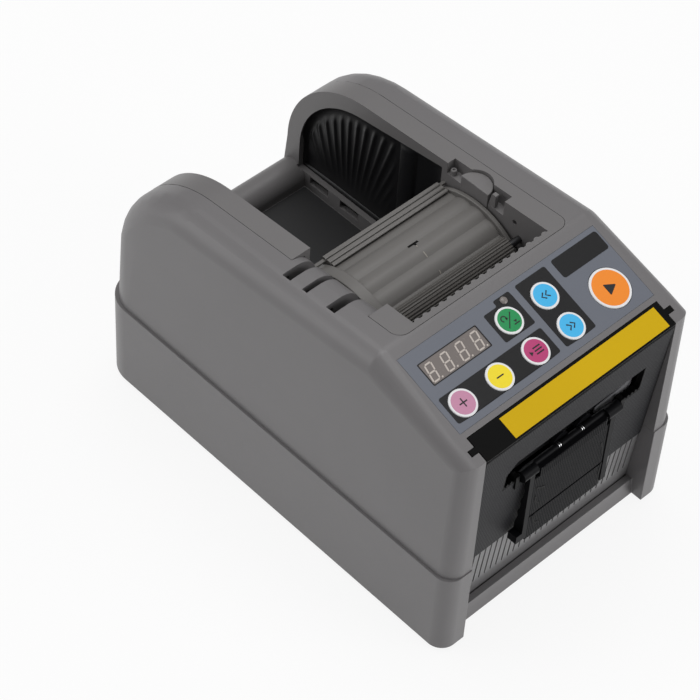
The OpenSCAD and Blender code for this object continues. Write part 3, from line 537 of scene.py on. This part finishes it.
def segment(x0, s0, x1, s1):
    """A seven-segment bar with pointed ends, laid from one joint of the digit to the next."""
    start, end = Vector((x0, s0)), Vector((x1, s1))
    along = (end - start).normalized()
    side = Vector((-along.y, along.x)) * STROKE / 2
    tip = along * STROKE / 2
    a, b = start + along * STROKE_GAP, end - along * STROKE_GAP
    return [a, a + tip + side, b - tip + side, b, b - tip - side, a + tip - side]


def make_digits():
    low, mid, high = STROKE / 2, DIGIT_H / 2, DIGIT_H - STROKE / 2
    left, right = STROKE / 2, DIGIT_W - STROKE / 2
    level = [(left, s, right, s) for s in (high, mid, low)]
    upright = [(x, s0, x, s1) for x in (left, right) for s0, s1 in ((low, mid), (mid, high))]
    strokes = [segment(*bar) for bar in level + upright] + [disc(DIGIT_W + POINT_GAP, low, POINT_R, 16)]
    digits = Shape()
    for i in range(DIGIT_COUNT):
        base = DIGIT_AT[0] + i * DIGIT_PITCH
        for stroke in strokes:
            digits.prism([(base + x + s * DIGIT_SLANT, DIGIT_AT[1] + s) for x, s in stroke], -DIGIT_T, 0.0)
    piece("display_digits", digits, SEGMENT_PALE, "housing", PANEL)


def make_window_rim():
    sight = rectangle(*SIGHT, SIGHT_ROUND)
    rim = Shape().prism(rectangle(*WINDOW, WINDOW_ROUND), RIM_LOW, RIM_HIGH, [sight])
    piece("window_rim", rim, PRINT_BLACK, "housing", PANEL)


def make_lamp():
    piece("lamp_dome", Shape().lathe(LAMP_DOME, LAMP_AT), LAMP_FROST, "housing", PANEL)


make_prints()
make_keys()
make_digits()
make_window_rim()
make_lamp()


# Cutter cover: fine upright ribs round the slot. Places are x across and z up from the cover's top edge.
COVER_HALF, COVER_TOP, COVER_LOW = 50.2, -1.6, -67.9
SLOT_X, SLOT_TOP, SLOT_BEVEL = (-35.5, 38.5), -17, 4.8
SLOT_LOW, SLOT_END_LOW, SLOT_END_X = -34.5, -30.7, 28.5
SLOT_OVERLAP = 0.15
RIB_PITCH, RIB_RISE, RIB_ROOT = 1.0, 0.12, 0.05


def rib(shape, x, low, high, face, rise=RIB_RISE, width=RIB_PITCH):
    """An upright rib with sloping flanks on a face."""
    foot, crest = width / 2, width / 5
    section = [(x - foot, face + RIB_ROOT), (x - foot, face), (x - crest, face - rise),
               (x + crest, face - rise), (x + foot, face), (x + foot, face + RIB_ROOT)]
    shape.prism(section, low, high)


def make_cover_ribs():
    ribs = Shape()
    for i in range(int(2 * COVER_HALF / RIB_PITCH)):
        x = -COVER_HALF + (i + 0.5) * RIB_PITCH
        if SLOT_X[0] - RIB_PITCH / 2 < x < SLOT_X[1] + RIB_PITCH / 2:
            slot_high = min(SLOT_TOP, SLOT_TOP - SLOT_BEVEL + (x - SLOT_X[0])) + SLOT_OVERLAP
            slot_low = SLOT_END_LOW if abs(x) > SLOT_END_X else SLOT_LOW
            rib(ribs, x, slot_high, COVER_TOP, 0)
            rib(ribs, x, COVER_LOW, slot_low, 0)
        else:
            rib(ribs, x, COVER_LOW, COVER_TOP, 0)
    piece("cover_ribs", ribs, COVER_BLACK, "housing", COVER)


make_cover_ribs()


# Outlet guide: fine ribs on the plate, a toothed band, hooks and spring coils, all on the swinging guide
PLATE_X, PLATE_FACE = (-20.4, 20.1), 0.9
PLATE_SPANS = [(34.7, 47.5), (48.6, 70.2)]
PLATE_RIB_RISE = 0.16
BAND_HALF, BAND_Z, BAND_FACE = 17.6, (70.6, 75.3), 0.3
TOOTH_PITCH, TOOTH_W, TOOTH_RISE, TOOTH_START = 1.1, 0.9, 0.2, 0.7
HOOKS = [
    [(-18.4, 58.9), (-18.3, 56.6), (-17.4, 54.4), (-15.6, 53.2)],
    [(-18.2, 47.3), (-18.0, 44.6), (-16.9, 41.9), (-14.2, 40.2)],
    [(-18.4, 64.0), (-16.8, 62.6), (-14.1, 61.4)],
    [(17.1, 61.8), (18.3, 58.6), (19.2, 53.0)],
    [(19.6, 48.2), (19.1, 44.8), (18.9, 41.9)],
]
HOOK_W, HOOK_RISE, HOOK_ROOT = 0.8, 0.26, 0.05
HINGE = (3.9, 75.4)
COIL_GAPS, COILS_PER_GAP = ((-6.2, -4.5), (6.2, 7.9)), 2
COIL_R, COIL_BORE, COIL_T, COIL_STEPS = 1.4, 0.9, 0.3, 24


def make_plate_ribs():
    ribs = Shape()
    for i in range(int((PLATE_X[1] - PLATE_X[0]) / RIB_PITCH)):
        for low, high in PLATE_SPANS:
            rib(ribs, PLATE_X[0] + (i + 0.5) * RIB_PITCH, low, high, PLATE_FACE, PLATE_RIB_RISE)
    piece("guide_ribs", ribs, GUIDE_GREY, "guide")


def make_band_teeth():
    band = Shape()
    for i in range(int(2 * BAND_HALF / TOOTH_PITCH)):
        rib(band, -BAND_HALF + TOOTH_START + i * TOOTH_PITCH, *BAND_Z, BAND_FACE, TOOTH_RISE, TOOTH_W)
    piece("guide_band_teeth", band, GUIDE_GREY, "guide")


def make_hooks():
    hooks = Shape()
    for path in HOOKS:
        hooks.prism(ribbon(path, HOOK_W), PLATE_FACE - HOOK_RISE, PLATE_FACE + HOOK_ROOT, lie=ALONG_Y)
    piece("guide_hooks", hooks, STRIP_BLACK, "guide")


def make_coils():
    outer, bore = disc(*HINGE, COIL_R, COIL_STEPS), disc(*HINGE, COIL_BORE, COIL_STEPS)
    coils = Shape()
    for start, end in COIL_GAPS:
        for k in range(COILS_PER_GAP):
            x = start + (end - start) * (k + 0.5) / COILS_PER_GAP
            coils.prism(outer, x - COIL_T / 2, x + COIL_T / 2, [bore], lie=ALONG_X)
    piece("guide_spring_coils", coils, STEEL, "guide")


make_plate_ribs()
make_band_teeth()
make_hooks()
make_coils()


# Tape support and ledge behind the slot. Outlines are x across and z up.
SUPPORT_HALF, SUPPORT_LOW, SUPPORT_LIP, SUPPORT_TOP = 31, 61, 70.8, 77.5
SUPPORT_Y, SUPPORT_EDGE = (9.4, 9.9), 0.1
OUTLET_LEDGE = [(17.2, 74.1), (35.5, 70.7), (37.6, 76.0), (38.0, 81.8), (29.7, 81.8), (34.2, 78.0),
                (17.7, 76.6)]
OUTLET_LEDGE_Y = (6.6, 7.0)


def make_outlet_support():
    # Lower part of the plate in black: painted shade deep behind the slot
    lower = rectangle(-SUPPORT_HALF, SUPPORT_LOW, SUPPORT_HALF, SUPPORT_LIP)
    support = Shape().prism(lower, *SUPPORT_Y, lie=ALONG_Y)
    piece("outlet_support", support, GUIDE_BLACK, "housing", edge=SUPPORT_EDGE)
    # Upper lip of the same plate in a lighter grey: painted light from the slot above
    upper = rectangle(-SUPPORT_HALF, SUPPORT_LIP, SUPPORT_HALF, SUPPORT_TOP)
    lip = Shape().prism(upper, *SUPPORT_Y, lie=ALONG_Y)
    piece("outlet_support_lit_lip", lip, SUPPORT_GREY, "housing", edge=SUPPORT_EDGE)
    ledge = Shape().prism(OUTLET_LEDGE, *OUTLET_LEDGE_Y, lie=ALONG_Y)
    piece("outlet_ledge", ledge, SUPPORT_GREY, "housing")


make_outlet_support()


# Side dishes of the well: hollowed plates with a fan of ribs, in place of the plain side plates
WELL_HALF = 35.4
DISH_R, DISH_Y, DISH_Z = 38.7, 150.0, 70.35
DISH_FRONT, DISH_REAR, DISH_FLOOR, DISH_TOP_GAP = 110.2, 188.4, 57.2, 0.15
DISH_FALL = math.radians(8)
DISH_EDGE = DISH_Y + DISH_R * math.sin(DISH_FALL)
DISH_SINK, DISH_DEPTH, DISH_WALL = 0.3, 3.4, 0.9
DISH_LEDGE, DISH_LEDGE_SLOPE = 2.2, 3
SIDE_ROUND, ROOF_ROUND, ROOF_NUDGE = 1.5, 6, 0.01
DISH_COLUMNS, DISH_ROWS = 230, 44
# The fan of ribs, and where it fades out: beside the rim, to the front and to the floor
FAN_AT, FAN_PITCH, FAN_PHASE = (162.6, 24.2), 3.6, 1.5
FAN_EVEN, FAN_SPREAD, FAN_RISE = 5.0, 0.11, 0.6
FAN_RIM, FAN_RIM_FADE = 0.8, 0.5
FAN_FRONT, FAN_FRONT_FADE = 136, 5
FAN_FOOT, FAN_FOOT_FADE = DISH_FLOOR + 3, 22.0
HUMP_Y, HUMP_R, HUMP_RISE = 131.0, 4.5, 1.3
HUMP_RIM, HUMP_RIM_FADE = 3, 3


def dish_top(y):
    """Height of the dish's rim: an arc at the rear, with a straight slope in front of it."""
    if y >= DISH_EDGE:
        return DISH_Z + math.sqrt(max(0.0, DISH_R ** 2 - (y - DISH_Y) ** 2))
    return DISH_Z + DISH_R * math.cos(DISH_FALL) + (DISH_EDGE - y) * math.tan(DISH_FALL)


def inside_rim(y, z):
    """How far a place lies inside the dish's rim."""
    if y < DISH_EDGE:
        roof = (dish_top(y) - z) * math.cos(DISH_FALL)
    elif z > DISH_Z:
        roof = DISH_R - math.hypot(y - DISH_Y, z - DISH_Z)
    else:
        roof = DISH_Y + DISH_R - y
    return max(0.0, min(roof, y - DISH_FRONT))


def ease(value, start, length):
    """Rises smoothly from 0 to 1 over a length."""
    share = max(0.0, min(1.0, (value - start) / length))
    return share * share * (3 - 2 * share)


def fan_number(y, z):
    """Which rib of the fan a place lies on; the ribs spread towards the rear."""
    angle = math.degrees(math.atan2(y - FAN_AT[0], z - FAN_AT[1]))
    even = (min(angle, FAN_EVEN) - FAN_PHASE) / FAN_PITCH
    past = max(0.0, angle - FAN_EVEN) / FAN_PITCH
    return even + math.log(1 + FAN_SPREAD * past) / FAN_SPREAD


def dish_depth(y, z):
    """How far the dish lies behind the cheek's face at a place."""
    inside = inside_rim(y, z)
    lift = math.sin(math.atan2(z - DISH_Z, max(0.0, y - DISH_Y) + ROOF_NUDGE))
    share = inside / (SIDE_ROUND + ROOF_ROUND * max(0.0, lift))
    hollow = DISH_DEPTH * math.sqrt(1 - (1 - min(1.0, share)) ** 2)
    wave = (0.5 + 0.5 * math.cos(2 * math.pi * fan_number(y, z))) ** 2
    fade = ease(share, FAN_RIM, FAN_RIM_FADE) * ease(y, FAN_FRONT, FAN_FRONT_FADE)
    fan = FAN_RISE * wave * fade * ease(z, FAN_FOOT, FAN_FOOT_FADE)
    across = (y - HUMP_Y) / HUMP_R
    hump = HUMP_RISE * math.sqrt(max(0.0, 1 - across * across)) * ease(inside, HUMP_RIM, HUMP_RIM_FADE)
    return min(hollow - fan - hump, DISH_LEDGE + DISH_LEDGE_SLOPE * (z - DISH_FLOOR))


def faces_out(thing, side):
    """Whether a dish's normals point away from the well."""
    total = sum((p.normal.x * p.area for p in thing.data.polygons), 0.0)
    return total * side > 0


def make_dish(name, side):
    points = []
    for i in range(DISH_COLUMNS + 1):
        y = DISH_FRONT + (DISH_REAR - DISH_FRONT) * i / DISH_COLUMNS
        for j in range(DISH_ROWS + 1):
            z = DISH_FLOOR + (dish_top(y) - DISH_TOP_GAP - DISH_FLOOR) * j / DISH_ROWS
            points.append((side * (WELL_HALF + DISH_SINK + dish_depth(y, z)), y, z))
    step = DISH_ROWS + 1
    faces = [[i * step + j, (i + 1) * step + j, (i + 1) * step + j + 1, i * step + j + 1]
             for i in range(DISH_COLUMNS) for j in range(DISH_ROWS)]
    thing = piece(name, Shape().add(points, faces), SIDE_BLACK, "housing")
    wall = thing.modifiers.new("wall", "SOLIDIFY")
    wall.thickness = DISH_WALL * MM
    wall.offset = 1.0 if faces_out(thing, side) else -1.0
    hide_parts(name.replace("_dish", "_plate"))


make_dish("left_side_dish", -1)
make_dish("right_side_dish", 1)


# Dark sheet over the well floor: painted shade of the deep well, partly the floor's own dark grey
SHADE_SHEET, SHADE_SHEET_ROUND, SHADE_SHEET_Z, SHADE_SHEET_EDGE = (-34.9, 56.4, 34.9, 184.0), 1.0, (49.0, 49.4), 0.1


def make_well_shade_sheet():
    shade_sheet = Shape().prism(rectangle(*SHADE_SHEET, SHADE_SHEET_ROUND), *SHADE_SHEET_Z)
    piece("well_floor_shade_sheet", shade_sheet, WELL_SHADE_DARK, "housing", edge=SHADE_SHEET_EDGE)


make_well_shade_sheet()


# Notch and seam marks that follow the drum's lobes; the notch is a black patch on the surface, painted shade
# of a recess. Angles are in degrees from the rear, up and over.
DRUM_AT, DRUM_R = (90.0, 81.5), 29.5
LOBE_DEPTH, LOBE_PITCH, LOBE_TURN = 0.8, 360 / 22, 6.2
PATCH_STEPS, PATCH_ROOT = 8, 0.4
# Angles and x of the notch's two bars
NOTCH = [((87.3, 89.2), (-1.4, 3.8)), ((89.0, 90.8), (1.1, 2.1))]
SEAM_SPANS, SEAM_X = [(99.0, 104.2), (117.6, 120.4), (91.5, 93.0)], (1.0, 1.45)
NOTCH_RISE, SEAM_RISE = 0.05, 0.12


def on_drum(radius, degrees):
    a = math.radians(degrees)
    return (DRUM_AT[0] + radius * math.cos(a), DRUM_AT[1] + radius * math.sin(a))


def lobe_r(degrees):
    """Radius of the drum's surface at an angle."""
    share = ((degrees - LOBE_TURN) % LOBE_PITCH) / LOBE_PITCH
    return DRUM_R - LOBE_DEPTH * (1 - math.sin(math.pi * share))


def drum_patch(shape, span, across, rise):
    """A thin patch that follows the drum's surface between two angles."""
    start, end = span
    angles = [start + (end - start) * k / PATCH_STEPS for k in range(PATCH_STEPS + 1)]
    outer = [on_drum(lobe_r(d) + rise, d) for d in angles]
    inner = [on_drum(lobe_r(d) - PATCH_ROOT, d) for d in angles[::-1]]
    shape.prism(outer + inner, *across, lie=ALONG_X)


def make_drum_marks():
    # The notch: a black patch on the drum, painted shade of a recess
    notch = Shape()
    for span, across in NOTCH:
        drum_patch(notch, span, across, NOTCH_RISE)
    piece("drum_notch_shade", notch, STRIP_BLACK, "drum")
    seam = Shape()
    for span in SEAM_SPANS:
        drum_patch(seam, span, SEAM_X, SEAM_RISE)
    piece("drum_seam", seam, SEAM_PALE, "drum")


make_drum_marks()


# Peg and hollow boss in the pocket beside the axle cap
POCKET_FLOOR = 113.7
PEG_X, PEG_ROUND, PEG_EDGE = (35.6, 37.4), 0.4, 0.2
PEG = [(85.2, POCKET_FLOOR), (81.8, POCKET_FLOOR), (81.8, 120.0), (83.8, 120.0)]
BOSS_AT, BOSS_STEPS = (37.0, 105.2), 24
BOSS = [(0, POCKET_FLOOR), (1.3, POCKET_FLOOR), (1.3, 115.8), (1.1, 116.1), (0.6, 116.1), (0.5, 115.5),
        (0, 115.5)]


def make_pocket_details():
    peg = Shape().prism(fillet(PEG, PEG_ROUND), *PEG_X, lie=ALONG_X)
    piece("pocket_peg", peg, FRAME_GREY, "housing", edge=PEG_EDGE)
    boss = Shape().lathe(BOSS, BOSS_AT, BOSS_STEPS)
    piece("pocket_boss", boss, FRAME_GREY, "housing")


make_pocket_details()


# Finish of the carried-over solids
NODE_FINISH = {
    HOUSING: ["base_tray", "upper_shell"],
    FRAME_GREY: ["well_frame", "axle_cap"],
    PANEL_GREY: ["front_lower_panel"],
    DRUM_GREY: ["guide_drum", "drum_flanges", "rear_guide_bar"],
    ROLLER_GREY: ["pinch_roller"],
    # The cover's top strip is darker than the charcoal ribs on its front: partly its own glossy black,
    # partly painted shade on its top face, which faces the top light
    STRIP_BLACK: ["cutter_cover"],
    GUIDE_BLACK: ["outlet_guide"],
    BAND_YELLOW: ["cover_band"],
    OVERLAY_BLUE: ["panel_overlay"],
    WINDOW_SMOKE: ["display_window"],
    LAMP_FROST: ["status_lamp"],
    RING_WHITE: [key + "_key" for key in KEYS],
    BOARD_GREEN: ["control_board", "power_board"],
    PART_BLACK: ["display_module", "tact_switches", "switch_body", "power_inlet", "power_rocker",
                 "blade_carriage"],
    RUBBER_DARK: ["feed_roller", "rubber_feet"],
    RUBBER_PALE: ["press_roller"],
    NYLON: ["feed_gear", "feed_pinion", "cutter_pinion"],
    # The pinch pin is darkened as painted shade under the front rim
    DARK_STEEL_AND_SHADE: ["outlet_pins", "pinch_pin"],
    STEEL: ["drum_axle", "feed_shaft", "press_shaft", "guide_rods", "case_screws"],
    STEEL_ZINC: ["left_chassis", "right_chassis", "press_springs", "feed_motor", "cutter_motor"],
    STEEL_BLADE: ["fixed_blade", "moving_blade"],
    ALLOY: ["blade_bed"],
    BRONZE: ["feed_bushes"],
}
EDGE_ROUND, WELD_GAP = 0.3, 0.01
FLAT_ANGLE = math.radians(0.6)
KEEP_CREASES = {"guide_drum", "pinch_roller"}
# Merging this node's flat faces would tear its front wall
KEEP_FACES = {"well_frame"}
NO_ROUND = {"guide_drum", "front_lower_panel", "pinch_roller", "rear_guide_bar", "feed_gear", "feed_pinion",
            "cutter_pinion", "cover_band", "panel_overlay", "display_window", "outlet_pins", "tact_switches",
            "press_springs"}


def dress_node(name, material):
    """Gives a solid its material, clean smooth shading and slightly rounded edges."""
    node = NODES[name]
    node.data.materials.clear()
    node.data.materials.append(material)
    weld = node.modifiers.new("weld", "WELD")
    weld.merge_threshold = WELD_GAP * MM
    if name not in KEEP_FACES:
        flats = node.modifiers.new("flats", "DECIMATE")
        flats.decimate_type = "DISSOLVE"
        flats.angle_limit = FLAT_ANGLE
    width = 0.0 if name in NO_ROUND else EDGE_ROUND
    finish_edges(node, width, CREASED if name in KEEP_CREASES else SMOOTH)


for finish, names in NODE_FINISH.items():
    for node_name in names:
        dress_node(node_name, finish)


# Floor, world and lights, in metres
FLOOR_HALF, FLOOR_TONE, FLOOR_ROUGH, FLOOR_GLOW = 4.0, 0.9, 0.8, 0.88
WORLD_GLOW = 0.37
LIGHT_TARGET = place(0, 100, 60)
# Place, size and power of each light
LIGHTS = {
    "top_box": ((0.1, 0.2, 1.3), (0.9, 0.9), 7.5),
    "left_box": ((-1.0, 0.9, 0.65), (0.7, 1.0), 4.5),
    "front_box": ((0.6, -1.2, 0.5), (0.8, 0.8), 7),
}


def floor_material():
    """A white floor that glows where the camera sees it, straight, through or mirrored."""
    material, tree, shader = blank("floor_white")
    shader.inputs["Base Color"].default_value = (FLOOR_TONE, FLOOR_TONE, FLOOR_TONE, 1)
    shader.inputs["Roughness"].default_value = FLOOR_ROUGH
    path = add(tree, "ShaderNodeLightPath")
    seen = path.outputs["Is Camera Ray"]
    for ray in ("Is Transmission Ray", "Is Glossy Ray"):
        either = add(tree, "ShaderNodeMath", operation="MAXIMUM")
        tree.links.new(seen, either.inputs[0])
        tree.links.new(path.outputs[ray], either.inputs[1])
        seen = either.outputs[0]
    share = add(tree, "ShaderNodeMath", {1: FLOOR_GLOW}, operation="MULTIPLY")
    glow = add(tree, "ShaderNodeEmission", {"Strength": 1.0})
    mix = add(tree, "ShaderNodeMixShader")
    tree.links.new(seen, share.inputs[0])
    tree.links.new(share.outputs[0], mix.inputs[0])
    tree.links.new(shader.outputs[0], mix.inputs[1])
    tree.links.new(glow.outputs[0], mix.inputs[2])
    tree.links.new(mix.outputs[0], tree.nodes["Material Output"].inputs["Surface"])
    return material


def make_floor():
    corners = rectangle(-FLOOR_HALF, -FLOOR_HALF, FLOOR_HALF, FLOOR_HALF)
    mesh = bpy.data.meshes.new("floor")
    mesh.from_pydata([(x, y, 0) for x, y in corners], [], [(0, 1, 2, 3)])
    mesh.materials.append(floor_material())
    floor = bpy.data.objects.new("floor", mesh)
    bpy.context.scene.collection.objects.link(floor)


def make_world():
    world = bpy.data.worlds.new("studio")
    world.use_nodes = True
    background = world.node_tree.nodes["Background"]
    background.inputs["Color"].default_value = (1, 1, 1, 1)
    background.inputs["Strength"].default_value = WORLD_GLOW
    bpy.context.scene.world = world


def make_light(name, at, size, power):
    lamp = bpy.data.lights.new(name, "AREA")
    lamp.shape = "RECTANGLE"
    lamp.size, lamp.size_y = size
    lamp.energy = power
    light = bpy.data.objects.new(name, lamp)
    light.location = at
    light.rotation_euler = (LIGHT_TARGET - Vector(at)).to_track_quat("-Z", "Y").to_euler()
    bpy.context.scene.collection.objects.link(light)


make_floor()
make_world()
for light_name, (light_at, light_size, light_power) in LIGHTS.items():
    make_light(light_name, light_at, light_size, light_power)
bpy.context.scene.view_settings.view_transform = "Standard"
